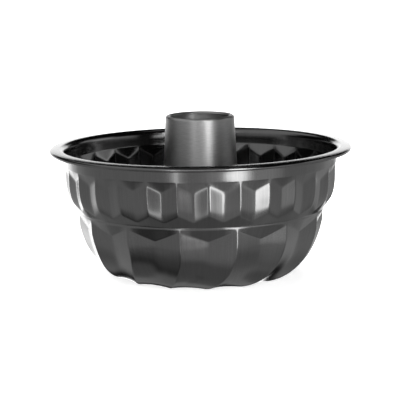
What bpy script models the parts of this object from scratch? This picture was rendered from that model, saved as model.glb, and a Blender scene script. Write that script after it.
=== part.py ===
"""A fluted bundt pan (Gugelhupf form) in coated steel: bowl, centre tube and rim wire.

Frame: origin at the centre of the base plane, +Z up through the tube's axis, metres. The pan stands
on its lobes with its mouth up. Azimuths are measured from -Y towards +X.
"""

import math

import bmesh
import bpy
from mathutils import Vector

MM = 0.001

# Driving sizes, in mm and degrees
SHEET = 0.6            # wall of the bowl, the tube and the curl
GAP = 0.3              # running gap between pieces that touch
RIBS = 28              # V ribs in the upper tier
LOBES = 14             # spiral lobes in the lower tier, one to every second rib
RIB_AZIMUTH = 3.2      # azimuth of a rib's ridge that lies midway between two lobes
COLUMNS = 2 * RIBS     # one column on every ridge and every valley of the ribs
HALF_LOBE = COLUMNS // LOBES // 2  # columns from a lobe's ridge to the hollow beside it

COLLAR_TOP_R, COLLAR_TOP_Z = 107.3, 98.0        # plain collar under the lip
COLLAR_FOOT_R, COLLAR_FOOT_Z = 106.8, 89.5
LIP_R, LIP_Z, LIP_BEND = 111.0, 102.5, 4.2      # crest of the mouth and the bend under it
FLANGE_SLOPE = 5.5                              # the flange falls outwards
BEAD_R, BEAD_BEND, BEAD_TURN = 117.0, 1.6, 250  # rolled edge: axis radius, bend and sweep

RIDGE_TOP = (106.6, 87.1)     # (radius, height) of the ribs' ridges, top to foot
RIDGE_WAIST = (106.0, 73.7)
RIDGE_FOOT = (103.2, 62.9)
VALLEY_TOP = (103.9, 80.9)    # the same for the valleys between them
VALLEY_WAIST = (103.3, 71.7)
VALLEY_FOOT = (99.8, 57.5)
RIDGE_BULGE, VALLEY_BULGE = 0.5, 0.35   # how far they stand out midway between waist and foot

RING_R, RING_TOP_Z, RING_FOOT_Z = 96.9, 53.8, 52.3   # plain band between the tiers

LOBE_TOP = (96.8, 50.3)       # lobe ridges: a straight top, then one Bezier curve to the base
LOBE_CURVE = ((96.4, 40.8), (87.9, 3.1), (64.9, 0.0), (60.0, 0.0))
HOLLOW_TOP = (91.6, 42.1)     # where the hollow between two lobes comes out of the shoulder
HOLLOW_STEP = 3.0             # height of the rounded edge under that point
HOLLOW_DEPTH = (5.2, 2.4)     # its depth below the ridges, top and base
HOLLOW_SOFTNESS = 0.9         # roundness of the hollows at the base: 0 is a V
TWIST_START = 16.0            # the lobes run straight down this far along their outline ...
TWIST_RATE = 0.0056           # ... then spiral, in degrees per mm of outline squared

PAD_R = 53.0                  # inner end of the flats that the pan stands on
FOOT_R, FOOT_Z = 32.6, 9.0    # the bowl's inner edge turns up here ...
NECK_Z = 15.0                 # ... and ends here
FOOT_TURNS = (30, 55, 75, 90)  # rows of the rise from the base to the neck, in degrees
HOLLOW_END = 60               # turn at which the hollows have run out
FOOT_TWIST = 6.0              # turn of the spiral over the rise

TUBE_TOP_R, TUBE_TOP_Z = 27.1, 124.5
TUBE_BEAD = (                 # swaged bead that sits over the neck: (radius, height above it)
    (32.3, 0.2), (33.2, 0.9), (33.7, 1.6), (33.1, 2.5), (32.1, 3.4),
)
TUBE_LIP_BEND = 2.1
FLARE_FROM, FLARE_TURNS = 62, 3  # the flare follows the bowl's foot from this turn, in steps

WIRE_R = BEAD_BEND - SHEET - GAP


def lerp(a, b, t):
    """The point t of the way from a to b."""
    return tuple(p + (q - p) * t for p, q in zip(a, b))


def bezier(points, t):
    """The point at t of a cubic Bezier curve."""
    a, b, c, d = points
    u = 1 - t
    return tuple(
        u**3 * p + 3 * u * u * t * q + 3 * u * t * t * r + t**3 * s
        for p, q, r, s in zip(a, b, c, d)
    )


def arc(centre, radius, start, end, steps):
    """(radius, height) points along an arc, angles in degrees from the outward direction."""
    turns = [math.radians(start + (end - start) * i / steps) for i in range(steps + 1)]
    return [(centre[0] + radius * math.cos(a), centre[1] + radius * math.sin(a)) for a in turns]


def place(r, z, azimuth):
    """A point at a radius, a height and an azimuth in degrees from -Y."""
    a = math.radians(azimuth)
    return Vector((r * math.sin(a), -r * math.cos(a), z))


def azimuth_of(column):
    return RIB_AZIMUTH + 360 * (column - HALF_LOBE) / COLUMNS


def round_row(r, z, twist=0.0):
    return [place(r, z, azimuth_of(c) - twist) for c in range(COLUMNS)]


def rib_row(ridge, valley):
    """A row through the upper tier: ridges on the even columns, valleys on the odd ones."""
    return [place(*(valley if c % 2 else ridge), azimuth_of(c)) for c in range(COLUMNS)]


def lobe_row(ridge, valley, softness, twist, flat=False):
    """A row through the lower tier, whose ridges lie under every second rib."""
    row = []
    for c in range(COLUMNS):
        across = abs((c + HALF_LOBE) % (2 * HALF_LOBE) - HALF_LOBE) / HALF_LOBE  # 1 in a hollow
        hollow = 1 - (1 - across) * (1 - softness * across)
        if flat and across < 1:
            hollow = 0
        row.append(place(*lerp(ridge, valley, hollow), azimuth_of(c) - twist))
    return row


def curl_rows():
    """The rolled edge, the flange and the bend into the collar, on the side away from the food."""
    slope = math.radians(FLANGE_SLOPE)
    bend = (LIP_R, LIP_Z - LIP_BEND)
    run = BEAD_R - LIP_R - (LIP_BEND - BEAD_BEND) * math.sin(slope)
    drop = run * math.tan(slope)
    bead = (BEAD_R, bend[1] + (LIP_BEND - BEAD_BEND) * math.cos(slope) - drop)
    top = 90 - FLANGE_SLOPE
    curl = arc(bead, BEAD_BEND - SHEET, top - BEAD_TURN, top, 7)
    fillet = arc(bend, LIP_BEND - SHEET, top, 180, 3)
    return [round_row(r, z) for r, z in curl + fillet], bead


def tier_rows():
    """The collar's foot, the ribs and the band under them."""
    ridge, valley = lerp(RIDGE_WAIST, RIDGE_FOOT, 0.5), lerp(VALLEY_WAIST, VALLEY_FOOT, 0.5)
    return [
        round_row(COLLAR_TOP_R, COLLAR_TOP_Z),
        round_row(COLLAR_FOOT_R, COLLAR_FOOT_Z),
        rib_row(RIDGE_TOP, VALLEY_TOP),
        rib_row(RIDGE_WAIST, VALLEY_WAIST),
        rib_row((ridge[0] + RIDGE_BULGE, ridge[1]), (valley[0] + VALLEY_BULGE, valley[1])),
        rib_row(RIDGE_FOOT, VALLEY_FOOT),
        round_row(RING_R, RING_TOP_Z),
        round_row(RING_R, RING_FOOT_Z),
    ]


def lobe_rows(steps=7):
    """The spiral lobes from the band to the flats that the pan stands on."""
    rows = [lobe_row(LOBE_TOP, HOLLOW_TOP, 0, 0)]
    past, length = LOBE_TOP, 0.0
    for i in range(steps + 1):
        t = i / steps
        r, z = bezier(LOBE_CURVE, t)
        ahead, behind = bezier(LOBE_CURVE, min(t + 0.01, 1)), bezier(LOBE_CURVE, max(t - 0.01, 0))
        length += math.dist((r, z), past)
        past = (r, z)
        inward = Vector((ahead[1] - behind[1], behind[0] - ahead[0])).normalized()
        depth = HOLLOW_DEPTH[0] + (HOLLOW_DEPTH[1] - HOLLOW_DEPTH[0]) * t
        valley = (r + inward.x * depth, z + inward.y * depth)
        if i == 0:
            valley = (valley[0], HOLLOW_TOP[1] - HOLLOW_STEP)
        spiral = TWIST_RATE * max(length - TWIST_START, 0) ** 2
        rows.append(lobe_row((r, z), valley, HOLLOW_SOFTNESS * t, spiral, flat=i == steps))
    spiral = TWIST_RATE * (length + LOBE_CURVE[3][0] - PAD_R - TWIST_START) ** 2
    edge = (PAD_R, HOLLOW_DEPTH[1])
    rows.append(lobe_row((PAD_R, 0), edge, HOLLOW_SOFTNESS, spiral, flat=True))
    return rows, spiral


def foot_point(turn):
    """(radius, height) on the quarter oval that rises from the flats to the neck."""
    a = math.radians(turn)
    return PAD_R - (PAD_R - FOOT_R) * math.sin(a), FOOT_Z * (1 - math.cos(a))


def foot_rows(spiral):
    """The bottom rising to the inner edge and the neck that the tube passes through."""
    rows = []
    for turn in FOOT_TURNS:
        r, z = foot_point(turn)
        depth = HOLLOW_DEPTH[1] * max(0, 1 - turn / HOLLOW_END)
        valley = (r + depth / 2, z + depth)
        twist = spiral + FOOT_TWIST * turn / 90
        rows.append(lobe_row((r, z), valley, HOLLOW_SOFTNESS, twist))
    rows.append(round_row(FOOT_R, NECK_Z, spiral + FOOT_TWIST))
    return rows


def vertex_normals(rows):
    """Unit normals of a grid of points that closes on itself along its rows."""
    normals = []
    for i, row in enumerate(rows):
        above, below = rows[max(i - 1, 0)], rows[min(i + 1, len(rows) - 1)]
        line = []
        for c in range(COLUMNS):
            along = row[(c + 1) % COLUMNS] - row[c - 1]
            down = below[c] - above[c]
            line.append(along.cross(down).normalized())
        normals.append(line)
    return normals


def sheet_object(name, rows, thickness, material):
    """A closed sheet-metal shell: the rows are its outer side, and it is thickened inwards."""
    normals = vertex_normals(rows)
    inner = [
        [p + n * thickness for p, n in zip(row, line)] for row, line in zip(rows, normals)
    ]
    loop = rows + inner[::-1]
    mesh = bmesh.new()
    grid = [[mesh.verts.new(p * MM) for p in row] for row in loop]
    return finish_mesh(name, mesh, grid, material)


def turned_object(name, outline, material):
    """A turned piece from a closed (radius, height) outline."""
    mesh = bmesh.new()
    grid = []
    for r, z in outline:
        grid.append([mesh.verts.new(p * MM) for p in round_row(r, z)])
    return finish_mesh(name, mesh, grid, material)


def finish_mesh(name, mesh, grid, material):
    """Skins a grid of vertices that closes on itself both ways, and makes it an object."""
    for i, row in enumerate(grid):
        following = grid[(i + 1) % len(grid)]
        for c in range(COLUMNS):
            d = (c + 1) % COLUMNS
            mesh.faces.new((row[c], following[c], following[d], row[d]))
    bmesh.ops.recalc_face_normals(mesh, faces=mesh.faces)
    bmesh.ops.triangulate(mesh, faces=mesh.faces)
    data = bpy.data.meshes.new(name)
    mesh.to_mesh(data)
    mesh.free()
    data.shade_smooth()
    data.set_sharp_from_angle(angle=math.radians(18))
    data.materials.append(material)
    piece = bpy.data.objects.new(name, data)
    bpy.context.scene.collection.objects.link(piece)
    return piece


def offset_outline(path, thickness):
    """A closed outline: an open (radius, height) path, thickened towards its left side."""
    inner = []
    for i, (r, z) in enumerate(path):
        before, after = path[max(i - 1, 0)], path[min(i + 1, len(path) - 1)]
        run = Vector((after[0] - before[0], after[1] - before[1])).normalized()
        inner.append((r - run.y * thickness, z + run.x * thickness))
    return path + inner[::-1]


def tube_path():
    """The tube's outer side from the flare under the bowl to the turned-in lip."""
    flare = []
    for i in range(FLARE_TURNS + 1):
        turn = FLARE_FROM + (90 - FLARE_FROM) * i / FLARE_TURNS
        r, z = foot_point(turn)
        a = math.radians(turn)
        lean = math.atan2((PAD_R - FOOT_R) * math.cos(a), FOOT_Z * math.sin(a))
        flare.append((r - GAP * math.cos(lean), z - GAP * math.sin(lean)))
    bead = [(r, NECK_Z + rise) for r, rise in TUBE_BEAD]
    shank = lerp(bead[-1], (TUBE_TOP_R, TUBE_TOP_Z), 0.5)
    lip = arc((TUBE_TOP_R - TUBE_LIP_BEND, TUBE_TOP_Z), TUBE_LIP_BEND, 0, 160, 5)
    return flare + bead + [shank] + lip


def coating(name, colour, roughness, metallic):
    """A Principled material in one colour."""
    material = bpy.data.materials.new(name)
    material.use_nodes = True
    shader = material.node_tree.nodes["Principled BSDF"]
    shader.inputs["Base Color"].default_value = (*colour, 1)
    shader.inputs["Roughness"].default_value = roughness
    shader.inputs["Metallic"].default_value = metallic
    return material


def clear_scene():
    for piece in list(bpy.data.objects):
        bpy.data.objects.remove(piece, do_unlink=True)


def main():
    clear_scene()
    dark_coat = coating("nonstick_coat", (0.09, 0.09, 0.09), 0.35, 0.6)
    steel = coating("bright_wire", (0.55, 0.55, 0.55), 0.35, 1.0)

    curl, bead = curl_rows()
    lobes, spiral = lobe_rows()
    rows = curl + tier_rows() + lobes + foot_rows(spiral)
    sheet_object("fluted_bowl", rows, SHEET, dark_coat)

    turned_object("centre_tube", offset_outline(tube_path(), SHEET), dark_coat)

    wire = arc(bead, WIRE_R, 0, 300, 5)
    turned_object("rim_wire", wire, steel)


main()
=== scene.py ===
"""Looks of the bundt pan: smooth pressed-steel shells, their coating, the light and the camera.

Lengths are in millimetres in the constants and outlines and in metres in the studio, and angles
are in degrees. Azimuths are measured from -Y towards +X, as in the part itself.
"""

import math

import bpy
import numpy as np
from mathutils import Matrix, Vector


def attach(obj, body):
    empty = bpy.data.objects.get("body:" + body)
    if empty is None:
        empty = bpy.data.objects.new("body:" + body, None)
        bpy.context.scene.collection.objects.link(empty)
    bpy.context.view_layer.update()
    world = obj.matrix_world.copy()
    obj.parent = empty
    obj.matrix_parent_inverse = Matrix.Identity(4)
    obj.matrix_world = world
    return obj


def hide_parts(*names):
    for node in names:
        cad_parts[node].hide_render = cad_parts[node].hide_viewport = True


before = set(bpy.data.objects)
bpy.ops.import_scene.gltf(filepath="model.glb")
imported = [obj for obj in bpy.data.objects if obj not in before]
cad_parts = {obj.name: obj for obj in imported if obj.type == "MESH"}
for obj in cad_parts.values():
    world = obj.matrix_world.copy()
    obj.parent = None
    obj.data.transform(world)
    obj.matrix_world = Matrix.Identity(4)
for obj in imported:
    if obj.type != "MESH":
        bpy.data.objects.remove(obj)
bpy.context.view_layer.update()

MM = 0.001
SHEET = 0.6

# The rolled edge, the lip and the collar
LIP_R, LIP_BEND, LIP_Z = 111.0, 4.2, 102.5
BEAD_R, BEAD_BEND, BEAD_TURN = 117.0, 1.6, 262
FLANGE_SLOPE = 5.5
COLLAR_TOP = (107.3, 98.0)
COLLAR_FOOT = (106.8, 89.5)

# The flutes: 28 V ribs above, 14 spiral lobes below, a lobe ridge under every second rib
RIBS, LOBES = 28, 14
RIB_AZIMUTH = 3.2
LOBE_AZIMUTH = RIB_AZIMUTH + 180 / LOBES
RIB_ROWS = (                             # ridge and valley points down a rib
    ((106.5, 86.2), (103.65, 80.9)),
    ((106.6, 82.0), (103.5, 78.0)),
    ((106.5, 77.0), (103.3, 74.0)),
    ((106.0, 72.0), (102.8, 69.5)),
    ((105.0, 67.0), (101.6, 63.5)),
    ((103.4, 62.9), (99.6, 57.5)),
)
RING_R, RING_TOP_Z, RING_FOOT_Z = 96.9, 53.8, 52.3
PAD_DIP = 0.15                           # the outline goes under the table and is cut flat at it
LOBE_CURVE = ((96.4, 40.8), (87.9, 3.1), (64.9, -PAD_DIP), (60.0, -PAD_DIP))
HOLLOW_DEPTH = (5.0, 1.6)                # of a lobe's valley, at its top and at the base
SHOULDER_RUN, FIRST_VALLEY_Z = 9.5, 40.2
TWIST_START, TWIST_RATE = 16.0, 0.0056   # the spiral begins so far down the lobe

# The bottom, the neck and the tube
PAD_R, FOOT_R, FOOT_Z, NECK_Z = 53.0, 32.6, 9.0, 15.0
HOLLOW_END = 66                          # degrees into the bottom's rise: the valleys run out
TUBE_FOOT_R, TUBE_TOP_R, TUBE_TOP_Z, TUBE_LIP_BEND = 32.3, 27.1, 124.5, 2.1
TUBE_BEAD_R, TUBE_BEAD_HEIGHT, TUBE_BEAD_TAPER = 33.7, 3.1, 0.2
GAP = 0.3

# Roundings: half the width of a crease from row to row, and its share of the way between a ridge
# and a valley, which is 12 mm on the ribs and 24 mm on the lobes
FILLET, RIB_FILLET, RING_FILLET, CURL_FILLET = 0.8, 1.5, 0.9, 0.05
RIB_CREASE = (0.09, 0.18)                                      # at a ridge and at a valley
LOBE_CREASE = 0.04                                             # at a lobe's top
LOBE_RIDGE = ((0, 0.7, 1), (LOBE_CREASE, LOBE_CREASE, 0.08))   # down the curve: places, shares
LOBE_VALLEY = ((0, 0.25, 0.6, 1), (0.06, 0.3, 0.75, 0.9))
FOOT_CREASE = (0.12, 0.85)

# The meshes
RIB_COLUMNS = (0, 0.04, 0.08, 0.13, 0.5, 0.82, 0.88, 0.94)     # columns from a ridge to a valley
CORNER_ROWS = (-1.2, -0.6, -0.2, 0.2, 0.6, 1.2)                # rows at a corner, in fillets
# keeps the bowl under the 200,000 triangles that an STL may have
ROW_STEP = 5.0      # the longest step between rows, in mm, which keeps the bowl's mesh light
TURNED_COLUMNS = 192
SHARP_ANGLE = 50


def arc(centre, radius, start, end, steps):
    """(radius, height) points along an arc, angles from the outward direction."""
    turns = np.radians(np.linspace(start, end, steps + 1))
    return [(centre[0] + radius * math.cos(a), centre[1] + radius * math.sin(a)) for a in turns]


def bezier(points, t):
    """A point of the cubic curve with these four control points."""
    a, b, c, d = (np.array(p) for p in points)
    return (1 - t) ** 3 * a + 3 * (1 - t) ** 2 * t * b + 3 * (1 - t) * t * t * c + t**3 * d


# ---------------------------------------------------------------- the bowl's outline

class Outline:
    """Key rows of the bowl from the curl to the neck, each a ridge point and a valley point."""

    SOFT, LOBES = 8, 9          # places in a row, after the two points, bulge, crease and twist

    def __init__(self):
        self.rows, self.corners = [], []

    def add(self, ridge, valley=None, bulge=0.0, crease=RIB_CREASE, twist=0.0, soft=FILLET,
            lobes=0, corner=False):
        """bulge is 1 on a round row and 0 where the faces between the creases are flat."""
        valley = ridge if valley is None else valley
        if corner:
            self.corners.append(len(self.rows))
        self.rows.append([*ridge, *valley, bulge, *crease, twist, soft, lobes])

    def fine_rows(self):
        """The rows of the finished mesh: corners rounded, with rows closer together round them."""
        keys = np.array(self.rows)
        run = (np.hypot(*np.diff(keys[:, 0:2], axis=0).T)
               + np.hypot(*np.diff(keys[:, 2:4], axis=0).T)) / 2
        at = np.concatenate([[0], np.cumsum(run)])
        spots = list(at)
        for corner in self.corners:
            spots += list(at[corner] + keys[corner, self.SOFT] * np.array(CORNER_ROWS))
        spots = np.unique(np.round([s for s in spots if 0 <= s <= at[-1]], 3))
        full = [spots[0]]
        for spot in spots[1:]:
            parts = max(1, math.ceil((spot - full[-1]) / ROW_STEP))
            full += list(full[-1] + (spot - full[-1]) * np.arange(1, parts + 1) / parts)
        full = np.array(full)
        soft = np.interp(full, at, keys[:, self.SOFT])
        shifts = np.linspace(-1, 1, 15)
        return np.stack([
            np.mean([np.interp(full + soft * s, at, column) for s in shifts], axis=0)
            for column in keys.T
        ], axis=1)


def rim_outline(outline):
    """The curl, the flange and the lip, on the side away from the food."""
    slope = math.radians(FLANGE_SLOPE)
    bend = (LIP_R, LIP_Z - LIP_BEND)
    run = BEAD_R - LIP_R - (LIP_BEND - BEAD_BEND) * math.sin(slope)
    fall = run * math.tan(slope)
    bead = (BEAD_R, bend[1] + (LIP_BEND - BEAD_BEND) * math.cos(slope) - fall)
    top = 90 - FLANGE_SLOPE
    for point in arc(bead, BEAD_BEND - SHEET, top - BEAD_TURN, top, 13):
        outline.add(point, bulge=1, soft=CURL_FILLET)
    for point in arc(bend, LIP_BEND - SHEET, top, 178, 7):
        outline.add(point, bulge=1, soft=CURL_FILLET)
    return bead


def rib_outline(outline):
    """The collar, the shoulder under it, the flat-faced ribs and the cone down to the ring."""
    outline.add(COLLAR_TOP, bulge=1, soft=0.3)
    outline.add((COLLAR_FOOT[0] + 0.15, COLLAR_FOOT[1] + 1.2), bulge=1, soft=0.5)
    outline.add(COLLAR_FOOT, bulge=1, soft=0.4, corner=True)
    outline.add((106.76, 89.1), (106.45, 88.5), soft=0.4)
    for points in RIB_ROWS:
        end = points in (RIB_ROWS[0], RIB_ROWS[-1])
        outline.add(*points, soft=RIB_FILLET, corner=end)
    outline.add((RING_R, RING_TOP_Z), bulge=1, soft=RING_FILLET, corner=True)


def lobe_outline(outline):
    """The ring, the V shoulders under it and the spiral lobes; gives the lobes' length."""
    def add(*points, **how):
        outline.add(*points, lobes=1, **how)

    add((RING_R, RING_TOP_Z - 0.1), bulge=1, soft=RING_FILLET)
    add((RING_R - 0.1, RING_FOOT_Z), bulge=1, soft=RING_FILLET, corner=True)
    add((96.8, 50.3), (91.6, 42.1), bulge=0.2, crease=(LOBE_CREASE, LOBE_CREASE), corner=True)
    length, past = SHOULDER_RUN, np.array(LOBE_CURVE[0])
    for t in np.linspace(0, 1, 21):
        point = bezier(LOBE_CURVE, t)
        run = bezier(LOBE_CURVE, t + 0.01) - bezier(LOBE_CURVE, t - 0.01)
        inward = np.array([run[1], -run[0]]) / np.hypot(*run)
        length += np.hypot(*(point - past))
        past = point
        depth = HOLLOW_DEPTH[0] + (HOLLOW_DEPTH[1] - HOLLOW_DEPTH[0]) * t**0.8
        valley = point + inward * depth
        if t == 0:
            valley[1] = FIRST_VALLEY_Z
        twist = TWIST_RATE * max(length - TWIST_START, 0) ** 2
        crease = (np.interp(t, *LOBE_RIDGE), np.interp(t, *LOBE_VALLEY))
        add(point, valley, crease=crease, twist=twist, bulge=0.3 * t)
    return length


def foot_outline(outline, length):
    """The bottom, a quarter turn that rises to the neck that the tube passes through."""
    start = TWIST_RATE * (length + LOBE_CURVE[3][0] - PAD_R - TWIST_START) ** 2
    for turn in (0, 12, 24, 36, 48, 60, 72, 82, 90):
        a = math.radians(turn)
        ridge = (PAD_R - (PAD_R - FOOT_R) * math.sin(a), FOOT_Z * (1 - math.cos(a)) - PAD_DIP)
        depth = HOLLOW_DEPTH[1] * max(0, 1 - turn / HOLLOW_END) ** 1.3
        valley = (ridge[0] + depth * math.sin(a) * 0.5, ridge[1] + depth)
        twist = start + turn / 15
        outline.add(ridge, valley, bulge=0.4 + 0.6 * turn / 90, crease=FOOT_CREASE,
                    twist=twist, lobes=1)
    outline.add((FOOT_R, NECK_Z - 0.05), bulge=1, twist=twist, soft=0.05, lobes=1)
    outline.add((FOOT_R, NECK_Z), bulge=1, twist=twist, soft=0.02, lobes=1)


# ---------------------------------------------------------------- meshes

def polar(r, azimuth):
    """x and y of points at a radius and an azimuth in degrees."""
    a = np.radians(azimuth)
    return r * np.sin(a), -r * np.cos(a)


def fluted_grid(rows, azimuths, flutes, first):
    """Points of the fluted sheet: flat faces between rounded ridges and rounded valleys.

    Each point is a weighted mean of the ridge and valley points beside it. The weights are a
    parabola inside a rounded crease, which meets the flat faces smoothly.
    """
    ridge_r, ridge_z, valley_r, valley_z, bulge, ridge_soft, valley_soft, twist = (
        rows[:, i : i + 1] for i in range(8)
    )
    half = 180 / flutes
    place = ((azimuths - first) / half)[None, :]
    ridge = 2 * np.round(place / 2)
    side = np.where(place < ridge, -1.0, 1.0)
    off = np.abs(place - ridge)
    into = 1 - off
    on_ridge, on_valley = off < ridge_soft, into < valley_soft
    near = np.where(on_ridge, (off + ridge_soft) ** 2 / (4 * ridge_soft), off)
    far = np.where(on_ridge, (ridge_soft - off) ** 2 / (4 * ridge_soft), 0)
    back = np.where(on_valley, (into + valley_soft) ** 2 / (4 * valley_soft), into)
    over = np.where(on_valley, (valley_soft - into) ** 2 / (4 * valley_soft), 0)
    near = np.where(on_valley, 1 - back - over, near)
    home = np.where(on_valley, back, 1 - near - far)
    centre = first + ridge * half
    x, y = 0, 0
    for weight, r, azimuth in (
        (home, ridge_r, centre),
        (near, valley_r, centre + side * half),
        (far, valley_r, centre - side * half),
        (over, ridge_r, centre + side * 2 * half),
    ):
        px, py = polar(r, azimuth)
        x, y = x + weight * px, y + weight * py
    hollow = near + far
    round_x, round_y = polar(ridge_r + (valley_r - ridge_r) * hollow, azimuths[None, :])
    x, y = x + (round_x - x) * bulge, y + (round_y - y) * bulge
    z = ridge_z + (valley_z - ridge_z) * hollow
    turn = -np.radians(twist)
    return np.stack([x * np.cos(turn) - y * np.sin(turn), x * np.sin(turn) + y * np.cos(turn), z],
                    axis=-1)


def grid_normals(grid):
    """Unit normals of a grid that closes on itself along its rows."""
    along = np.roll(grid, -1, axis=1) - np.roll(grid, 1, axis=1)
    down = np.gradient(grid, axis=0)
    normal = np.cross(along, down)
    return normal / np.linalg.norm(normal, axis=-1, keepdims=True)


def mesh_piece(name, grid, material, node):
    """A closed piece from a grid of points in mm that closes on itself both ways."""
    rows, columns = grid.shape[:2]
    index = np.arange(rows * columns).reshape(rows, columns)
    below, beside = np.roll(index, -1, axis=0), np.roll(index, -1, axis=1)
    across = np.roll(below, -1, axis=1)
    faces = np.stack([index, below, across, beside], axis=-1).reshape(-1, 4)
    points = grid.reshape(-1, 3) * MM
    corners = points[faces]
    volume = np.einsum("ij,ij->", corners[:, 0], np.cross(corners[:, 1], corners[:, 2]))
    mesh = bpy.data.meshes.new(name)
    mesh.from_pydata(points.tolist(), [], (faces if volume > 0 else faces[:, ::-1]).tolist())
    mesh.shade_smooth()
    mesh.set_sharp_from_angle(angle=math.radians(SHARP_ANGLE))
    mesh.materials.append(material)
    piece = bpy.data.objects.new(name, mesh)
    bpy.context.scene.collection.objects.link(piece)
    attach(piece, "root")
    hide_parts(node)


def bowl_shell(material):
    """The bowl in one sheet; gives the middle of its rolled edge as well."""
    outline = Outline()
    bead = rim_outline(outline)
    rib_outline(outline)
    foot_outline(outline, lobe_outline(outline))
    rows = outline.fine_rows()
    pitch = 180 / RIBS
    azimuths = np.array([
        RIB_AZIMUTH + pitch * (k + share) for k in range(2 * RIBS) for share in RIB_COLUMNS
    ])
    upper = rows[:, Outline.LOBES] < 0.5
    outer = np.concatenate([
        fluted_grid(rows[upper], azimuths, RIBS, RIB_AZIMUTH),
        fluted_grid(rows[~upper], azimuths, LOBES, LOBE_AZIMUTH),
    ])
    outer[..., 2] = np.maximum(outer[..., 2], 0)
    inner = outer + grid_normals(outer) * SHEET
    mesh_piece("bowl_shell", np.concatenate([outer, inner[::-1]]), material,
               "fluted_bowl")
    return bead


def turned_grid(points):
    """The grid of a turned piece from its (radius, height) points."""
    azimuths = np.arange(TURNED_COLUMNS) * 360 / TURNED_COLUMNS
    profile = np.array(points)
    x, y = polar(profile[:, :1], azimuths[None, :])
    return np.stack([x, y, np.broadcast_to(profile[:, 1:], x.shape)], axis=-1)


def thickened(path):
    """A closed outline: an open (radius, height) path, thickened towards its left side."""
    line = np.array(path)
    run = np.gradient(line, axis=0)
    run /= np.linalg.norm(run, axis=1, keepdims=True)
    inner = line + np.stack([-run[:, 1], run[:, 0]], axis=1) * SHEET
    return np.concatenate([line, inner[::-1]])


def tube_outline():
    """The tube's outer side from the flare under the bowl to the turned-in lip."""
    path = []
    for turn in np.linspace(62, 90, 9):
        a = math.radians(turn)
        r, z = PAD_R - (PAD_R - FOOT_R) * math.sin(a), FOOT_Z * (1 - math.cos(a))
        lean = math.atan2((PAD_R - FOOT_R) * math.cos(a), FOOT_Z * math.sin(a))
        path.append((r - GAP * math.cos(lean), z - GAP * math.sin(lean)))
    path.append((TUBE_FOOT_R, NECK_Z))
    base, reach = NECK_Z + GAP, TUBE_BEAD_R - TUBE_FOOT_R
    for share in np.linspace(0.05, 1, 13):
        swell = math.sin(math.pi * share) ** 1.2
        path.append((TUBE_FOOT_R - TUBE_BEAD_TAPER * share + reach * swell,
                     base + TUBE_BEAD_HEIGHT * share))
    wall_r, wall_z = TUBE_FOOT_R - TUBE_BEAD_TAPER, base + TUBE_BEAD_HEIGHT
    for share in np.linspace(0.08, 1, 12):
        path.append((wall_r + (TUBE_TOP_R - wall_r) * share,
                     wall_z + (TUBE_TOP_Z - wall_z) * share))
    lip = (TUBE_TOP_R - TUBE_LIP_BEND, TUBE_TOP_Z)
    return path + arc(lip, TUBE_LIP_BEND, 10, 165, 14)


# ---------------------------------------------------------------- materials

COAT_GREY, TUBE_GREY = (0.1, 0.1, 0.1), (0.285, 0.285, 0.285)
WRAP_RADIUS = 0.1                               # metres: about the bowl's radius
UNDER_LIP = (0.097, 0.1)                        # metres: the food side's look ends between these
CLOUDS, PEEL, SCRATCHES = 14.0, 900.0, 1500.0   # noise scales, per metre
PEEL_HEIGHT = 0.04 * MM


class Shader:
    """A node material with a Principled shader, and short ways to add and join nodes."""

    def __init__(self, name, colour, metallic, roughness):
        self.material = bpy.data.materials.new(name)
        self.material.use_nodes = True
        self.nodes = self.material.node_tree.nodes
        self.links = self.material.node_tree.links
        self.surface = self.nodes["Principled BSDF"]
        self.surface.inputs["Base Color"].default_value = (*colour, 1)
        self.surface.inputs["Metallic"].default_value = metallic
        self.surface.inputs["Roughness"].default_value = roughness

    def node(self, kind, inputs=None, **settings):
        made = self.nodes.new(kind)
        for name, value in settings.items():
            setattr(made, name, value)
        for name, value in (inputs or {}).items():
            if isinstance(value, bpy.types.NodeSocket):
                self.links.new(value, made.inputs[name])
            else:
                made.inputs[name].default_value = value
        return made

    def math(self, operation, a, b):
        return self.node("ShaderNodeMath", {0: a, 1: b}, operation=operation).outputs[0]

    def noise(self, vector, scale, detail, roughness=0.5):
        settings = {"Vector": vector, "Scale": scale, "Detail": detail, "Roughness": roughness}
        return self.node("ShaderNodeTexNoise", settings).outputs["Fac"]

    def spread(self, value, low, high, to_low, to_high):
        settings = {"Value": value, "From Min": low, "From Max": high,
                    "To Min": to_low, "To Max": to_high}
        return self.node("ShaderNodeMapRange", settings).outputs["Result"]

    def marks(self, noise, low, high):
        """A noise's usual range spread from low to high."""
        return self.spread(noise, 0.3, 0.7, low, high)

    def shades(self, factor, colour, depth):
        """The base colour, varied by a share of itself to both sides."""
        shade = self.node("ShaderNodeMix", {"Factor": factor}, data_type="RGBA")
        shade.inputs["A"].default_value = (*[c * (1 - depth) for c in colour], 1)
        shade.inputs["B"].default_value = (*[c * (1 + depth) for c in colour], 1)
        self.links.new(shade.outputs["Result"], self.surface.inputs["Base Color"])


def wrapped_coordinates(shader, across, along):
    """Coordinates that run round the pan and up it, each with its own scale per metre."""
    place = shader.node("ShaderNodeTexCoord").outputs["Object"]
    parts = shader.node("ShaderNodeSeparateXYZ", {"Vector": place}).outputs
    unit = shader.node("ShaderNodeVectorMath", {0: place}, operation="MULTIPLY")
    unit.inputs[1].default_value = (1, 1, 0)
    length = shader.node("ShaderNodeVectorMath", {0: unit.outputs[0]}, operation="NORMALIZE")
    stretched = shader.node("ShaderNodeVectorMath", {0: length.outputs[0]}, operation="SCALE")
    stretched.inputs["Scale"].default_value = WRAP_RADIUS * across
    height = shader.math("MULTIPLY", parts["Z"], along)
    rise = shader.node("ShaderNodeCombineXYZ", {"Z": height})
    total = shader.node("ShaderNodeVectorMath", {0: stretched.outputs[0], 1: rise.outputs[0]},
                        operation="ADD")
    return total.outputs[0], place, length.outputs[0], parts["Z"]


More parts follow.
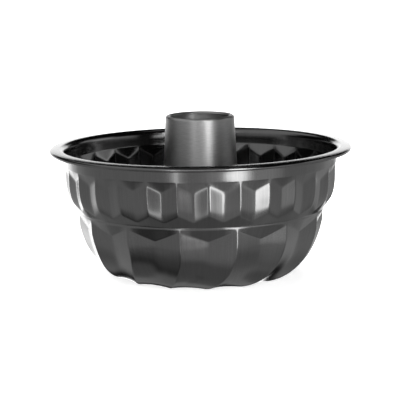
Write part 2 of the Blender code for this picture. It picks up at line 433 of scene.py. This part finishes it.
def food_side(shader, outward, height):
    """1 on the side that holds the batter, below the lip, and 0 on the outside."""
    normal = shader.node("ShaderNodeNewGeometry").outputs["Normal"]
    facing = shader.node("ShaderNodeVectorMath", {0: normal, 1: outward}, operation="DOT_PRODUCT")
    up = shader.node("ShaderNodeSeparateXYZ", {"Vector": normal}).outputs["Z"]
    lean = shader.math("SUBTRACT", facing.outputs["Value"], up)
    return shader.math("MULTIPLY", shader.spread(lean, -0.3, 0.3, 1, 0),
                       shader.spread(height, *UNDER_LIP, 1, 0))


def coat_material(name, colour, roughness, inside_roughness, streaks, grain):
    """Dark grey non-stick coat on drawn steel: draw lines, orange peel and slight cloudiness."""
    shader = Shader(name, colour, 1.0, roughness)
    drawn, place, outward, height = wrapped_coordinates(shader, across=900, along=40)
    lines = shader.noise(drawn, 1.0, 2.0)
    cloud = shader.noise(place, CLOUDS, 3.0)
    peel = shader.noise(place, PEEL, 2.0)
    tone = shader.math("ADD", shader.marks(lines, -streaks, streaks),
                       shader.marks(cloud, -0.03, 0.03))
    inside = food_side(shader, outward, height)
    base = shader.spread(inside, 0, 1, roughness, inside_roughness)
    shader.links.new(shader.math("ADD", tone, base), shader.surface.inputs["Roughness"])
    mark = shader.math("ADD", shader.marks(cloud, 0, 0.5), shader.marks(lines, 0, 0.5))
    shader.shades(mark, colour, 0.12)
    bump = shader.node("ShaderNodeBump",
                       {"Height": peel, "Strength": grain, "Distance": PEEL_HEIGHT})
    shader.links.new(bump.outputs[0], shader.surface.inputs["Normal"])
    return shader.material


def brushed_material(name, colour, roughness, brushing):
    """The tube's coat over steel that was brushed round: it spreads reflections up and down."""
    shader = Shader(name, colour, 1.0, roughness)
    brushed, place, _, _ = wrapped_coordinates(shader, across=60, along=1600)
    lines = shader.noise(brushed, 1.0, 4.0, 0.6)
    cloud = shader.noise(place, CLOUDS, 3.0)
    tone = shader.math("ADD", shader.marks(lines, -0.03, 0.03), shader.marks(cloud, -0.02, 0.02))
    shader.links.new(shader.math("ADD", tone, roughness), shader.surface.inputs["Roughness"])
    shader.shades(shader.spread(lines, 0.25, 0.75, 0, 1), colour, 0.14)
    tangent = shader.node("ShaderNodeTangent", direction_type="RADIAL", axis="Z")
    shader.links.new(tangent.outputs[0], shader.surface.inputs["Tangent"])
    shader.surface.inputs["Anisotropic"].default_value = brushing
    shader.surface.inputs["Anisotropic Rotation"].default_value = 0.25
    return shader.material


def wire_material():
    """Bright drawn steel with fine marks along the wire."""
    shader = Shader("bright_wire", (0.55, 0.55, 0.55), 1.0, 0.35)
    place = shader.node("ShaderNodeTexCoord").outputs["Object"]
    scratches = shader.noise(place, SCRATCHES, 2.0)
    shader.links.new(shader.marks(scratches, 0.28, 0.42), shader.surface.inputs["Roughness"])
    return shader.material


def floor_material():
    """A pale, nearly even table top that glows a little, so it stays as light as the background."""
    shader = Shader("pale_floor", (0.93, 0.93, 0.93), 0.0, 0.9)
    place = shader.node("ShaderNodeTexCoord").outputs["Object"]
    grain = shader.noise(place, 40.0, 2.0)
    shade = shader.node("ShaderNodeMix", {"Factor": grain}, data_type="RGBA")
    shade.inputs["A"].default_value = (0.925, 0.925, 0.925, 1)
    shade.inputs["B"].default_value = (0.935, 0.935, 0.935, 1)
    shader.links.new(shade.outputs["Result"], shader.surface.inputs["Base Color"])
    shader.surface.inputs["Emission Color"].default_value = (1, 1, 1, 1)
    shader.surface.inputs["Emission Strength"].default_value = 0.72
    return shader.material


# ---------------------------------------------------------------- studio

def make_camera():
    """A long lens 1.5 m away that looks down on the rim a little, and is turned a little."""
    distance, elevation, roll = 1.5, math.radians(7.95), math.radians(0.93)
    sensor = 36
    rim_plane = Vector((0, 0, 100.9 * MM))
    field = 315.2 * MM       # what the frame's width covers at the pan's axis
    drop, aside = 41.5 * MM, 0.24 * MM     # from the rim plane's middle to the frame's middle
    back = Vector((0, -math.cos(elevation), math.sin(elevation)))
    up = Vector((0, math.sin(elevation), math.cos(elevation)))
    right = Vector((1, 0, 0)) * math.cos(roll) - up * math.sin(roll)
    top = Vector((1, 0, 0)) * math.sin(roll) + up * math.cos(roll)
    eye = rim_plane + back * distance
    look = (rim_plane - top * drop - right * aside - eye).normalized()
    right = (right - look * right.dot(look)).normalized()
    top = right.cross(look)
    data = bpy.data.cameras.new("camera")
    data.sensor_width, data.lens = sensor, sensor * distance / field
    data.clip_start = 0.05
    camera = bpy.data.objects.new("camera", data)
    bpy.context.scene.collection.objects.link(camera)
    placed = Matrix((right, top, -look)).transposed().to_4x4()
    placed.translation = eye
    camera.matrix_world = placed
    bpy.context.scene.camera = camera


def softbox(name, azimuth, elevation, distance, width, height, power):
    """A rectangular light that faces the pan's middle."""
    a, e = math.radians(azimuth), math.radians(elevation)
    aim = Vector((0, 0, 0.06))
    back = Vector((math.sin(a) * math.cos(e), -math.cos(a) * math.cos(e), math.sin(e)))
    data = bpy.data.lights.new(name, "AREA")
    data.shape, data.size, data.size_y, data.energy = "RECTANGLE", width, height, power
    light = bpy.data.objects.new(name, data)
    light.location = aim + back * distance
    light.rotation_mode = "QUATERNION"
    light.rotation_quaternion = back.to_track_quat("Z", "Y")
    light.visible_camera = False
    bpy.context.scene.collection.objects.link(light)
    return light


class Sky:
    """The world's shader: soft-edged cards of light at given directions, added together."""

    def __init__(self):
        world = bpy.data.worlds.new("studio")
        bpy.context.scene.world = world
        world.use_nodes = True
        self.nodes, self.links = world.node_tree.nodes, world.node_tree.links
        self.level = None
        place = self.nodes.new("ShaderNodeTexCoord").outputs["Generated"]
        parts = self.nodes.new("ShaderNodeSeparateXYZ")
        self.links.new(place, parts.inputs[0])
        front = self.math("MULTIPLY", parts.outputs["Y"], -1)
        self.azimuth = self.degrees("ARCTAN2", parts.outputs["X"], front)
        self.elevation = self.degrees("ARCSINE", parts.outputs["Z"], 0)

    def math(self, operation, a, b):
        made = self.nodes.new("ShaderNodeMath")
        made.operation = operation
        for socket, value in zip(made.inputs, (a, b)):
            if isinstance(value, bpy.types.NodeSocket):
                self.links.new(value, socket)
            else:
                socket.default_value = value
        return made.outputs[0]

    def degrees(self, operation, a, b):
        return self.math("MULTIPLY", self.math(operation, a, b), 180 / math.pi)

    def edge(self, value, middle, half, soft, turn=False):
        """1 within half of the middle, falling smoothly to 0 over soft degrees round its edge."""
        away = self.math("SUBTRACT", value, middle)
        if turn:
            away = self.math("WRAP", away, 180)
            self.nodes[-1].inputs[2].default_value = -180
        away = self.math("ABSOLUTE", away, 0)
        made = self.nodes.new("ShaderNodeMapRange")
        made.interpolation_type = "SMOOTHSTEP"
        self.links.new(away, made.inputs["Value"])
        made.inputs["From Min"].default_value = half - soft / 2
        made.inputs["From Max"].default_value = half + soft / 2
        made.inputs["To Min"].default_value, made.inputs["To Max"].default_value = 1, 0
        return made.outputs["Result"]

    def card(self, level, azimuth, wide, low, high, soft, soft_up):
        """A card centred on an azimuth, so many degrees wide, between two elevations."""
        across = self.edge(self.azimuth, azimuth, wide / 2, soft, turn=True)
        up = self.edge(self.elevation, (low + high) / 2, (high - low) / 2, soft_up)
        light = self.math("MULTIPLY", self.math("MULTIPLY", across, up), level)
        self.level = light if self.level is None else self.math("ADD", self.level, light)

    def finish(self):
        self.links.new(self.level, self.nodes["Background"].inputs["Color"])


def make_world():
    """Pale cards round a dark room, as in a product studio."""
    sky = Sky()
    for card in CARDS:
        sky.card(*card)
    sky.finish()


# level, azimuth, width, lowest and highest elevation, soft edge across and up
CARDS = (
    (0.01, 0, 360, -90, 90, 8, 4),        # the room
    # behind the pan
    (1.8, 180, 50, 3, 14, 10, 4),         # the back panel over the horizon
    (1.7, -166, 52, -23, -5, 22, 8),      # the pale table
    (0.8, -168, 70, -20, 2, 50, 8),       # its soft ends, left and right
    (0.8, 180, 100, -8, 3, 30, 6),        # its far edge
    # below the horizon
    (0.75, 0, 290, -38, -3, 24, 14),      # the table all round the front
    (0.8, 15, 90, -56, -38, 30, 14),      # nearer the pan, in front
    (0.28, -70, 70, -52, -38, 20, 14),    # darker on the left
    (0.5, 160, 200, -62, -40, 30, 12),    # and at the sides and the back
    (0.42, 0, 360, -90, -58, 8, 14),      # under the pan
    (0.35, 10, 16, -34, -6, 12, 8),       # the key strip's glow on the table, on its left
    (0.6, 58, 24, -32, -6, 16, 8),        # and on its right
    # above the horizon
    (0.5, 0, 360, 68, 100, 8, 12),        # the dim ceiling
    (0.7, -50, 60, 0, 14, 20, 6),         # the left side, low
    (0.95, -60, 70, 14, 65, 20, 10),      # higher up
    (0.95, -120, 50, 30, 65, 20, 10),     # and further back
    (3.0, -5, 50, 10, 27, 16, 8),         # the camera's side
    (0.8, -5, 30, 0, 14, 16, 6),          # and under it
    (0.9, 106, 42, 8, 26, 8, 8),          # the right side
    (0.9, 84, 50, 2, 15, 12, 6),          # and further round to the front
    # the bright strips
    (7.9, 30, 19, -19, 4, 8, 10),         # key strip
    (7.0, 32.5, 15, -36, -19, 8, 10),     # its lower part
    (14.0, 27, 12, 4, 25, 5, 8),          # its upper part
    (3.7, -21, 6, -45, 0, 6, 8),          # fill strip
    (1.8, -20, 8, 0, 27, 8, 8),           # its upper part
)


def make_floor():
    """A table top that isn't mirrored in the coat and casts no shadow."""
    size, steps, drop = 6.0, 24, 0.0002
    line = np.linspace(-size, size, steps + 1)
    points = [(x, y, -drop) for y in line for x in line]
    faces = [
        (j * (steps + 1) + i, j * (steps + 1) + i + 1,
         (j + 1) * (steps + 1) + i + 1, (j + 1) * (steps + 1) + i)
        for j in range(steps) for i in range(steps)
    ]
    mesh = bpy.data.meshes.new("floor")
    mesh.from_pydata(points, [], faces)
    mesh.materials.append(floor_material())
    floor = bpy.data.objects.new("floor", mesh)
    bpy.context.scene.collection.objects.link(floor)
    floor.visible_glossy = False
    floor.visible_shadow = False


def make_lights():
    """One soft light for the floor. It isn't mirrored in the coat: the world's cards are."""
    lamp = softbox("top_softbox", azimuth=180, elevation=75, distance=1.6, width=1.5, height=1.5,
                   power=42)
    lamp.visible_glossy = False


def main():
    coat = coat_material("nonstick_coat", COAT_GREY, roughness=0.17, inside_roughness=0.15,
                         streaks=0.012, grain=0.06)
    tube_coat = brushed_material("tube_coat", TUBE_GREY, roughness=0.465, brushing=0.55)
    bead = bowl_shell(coat)
    mesh_piece("tube_shell", turned_grid(thickened(tube_outline())), tube_coat,
               "centre_tube")
    wire = arc(bead, BEAD_BEND - SHEET - GAP, 0, 330, 11)
    mesh_piece("bead_wire", turned_grid(wire), wire_material(), "rim_wire")
    make_floor()
    make_world()
    make_lights()
    make_camera()
    bpy.context.scene.view_settings.view_transform = "Standard"


main()
